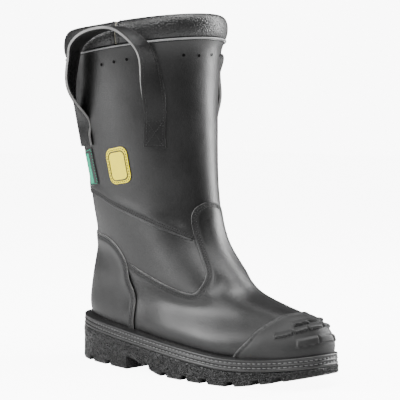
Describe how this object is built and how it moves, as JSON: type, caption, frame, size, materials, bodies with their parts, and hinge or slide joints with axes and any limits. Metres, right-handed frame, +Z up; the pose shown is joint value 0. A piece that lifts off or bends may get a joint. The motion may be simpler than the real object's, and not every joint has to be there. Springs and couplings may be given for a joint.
{
  "type": "fire boot",
  "caption": "Pull-on leather fire boot with a lugged rubber sole, rubber toe guard, padded slanted collar and two pull straps that swing outwards.",
  "frame": {"origin": "on the ground under the middle of the heel block, on the heel's flat tread", "axes": "+X forwards to the toe, +Y to the wearer's left (inner side of this right boot), +Z up the leg"},
  "size_m": [0.337, 0.2121, 0.3704],
  "materials": {
    "leather_black": "smooth fine-grained black leather",
    "leather_pebbled": "soft pebbled black leather",
    "strap_leather": "black strap leather with lighter cut edges",
    "rubber_sole": "matt pebbled black rubber",
    "rubber_cap": "matt dark grey rubber",
    "piping_grey": "light grey piping",
    "steel": "plain sheet steel",
    "foam": "closed-cell foam",
    "fibre_board": "pressed fibre board",
    "lining_cloth": "woven dark lining",
    "badge_yellow": "matt yellow with a black line",
    "label_green": "woven green label on a black ground"
  },
  "bodies": {
    "boot": {"outsole": "rubber_sole", "welt_strip": "rubber_sole", "midsole": "foam", "shank": "steel", "puncture_plate": "steel", "insole_board": "fibre_board", "vamp": "leather_black", "quarter": "leather_black", "shaft_leather": "leather_black", "heel_patch": "leather_black", "shaft_padding": "foam", "lining": "lining_cloth", "safety_toe_cap": "steel", "heel_counter": "fibre_board", "toe_scuff_cap": "rubber_cap", "side_badge": "badge_yellow", "rear_label": "label_green", "collar_front": "leather_pebbled", "collar_rear": "leather_pebbled", "collar_foam": "foam", "collar_piping": "piping_grey", "outer_strap_front_tab": "strap_leather", "outer_strap_rear_tab": "strap_leather", "inner_strap_front_tab": "strap_leather", "inner_strap_rear_tab": "strap_leather"},
    "outer_strap": {"outer_strap_loop": "strap_leather"},
    "inner_strap": {"inner_strap_loop": "strap_leather"},
    "footbed": {"footbed": "lining_cloth"}
  },
  "joints": [
    {"name": "outer_strap_swing", "type": "hinge", "parent": "boot", "child": "outer_strap", "pos_m": [0.048, -0.062, 0.265], "axis": [0.9895, 0.1445, 0], "range_deg": [0, 45], "stiffness_Nm_per_rad": 0.6, "springref_deg": -1.72},
    {"name": "inner_strap_swing", "type": "hinge", "parent": "boot", "child": "inner_strap", "pos_m": [0.037, 0.065, 0.265], "axis": [-0.9987, -0.05, 0], "range_deg": [0, 45], "stiffness_Nm_per_rad": 0.6, "springref_deg": -1.72},
    {"name": "footbed_lift", "type": "hinge", "parent": "boot", "child": "footbed", "pos_m": [0.2535, 0.007, 0.0368], "axis": [0, 1, 0], "range_deg": [0, 5]}
  ]
}
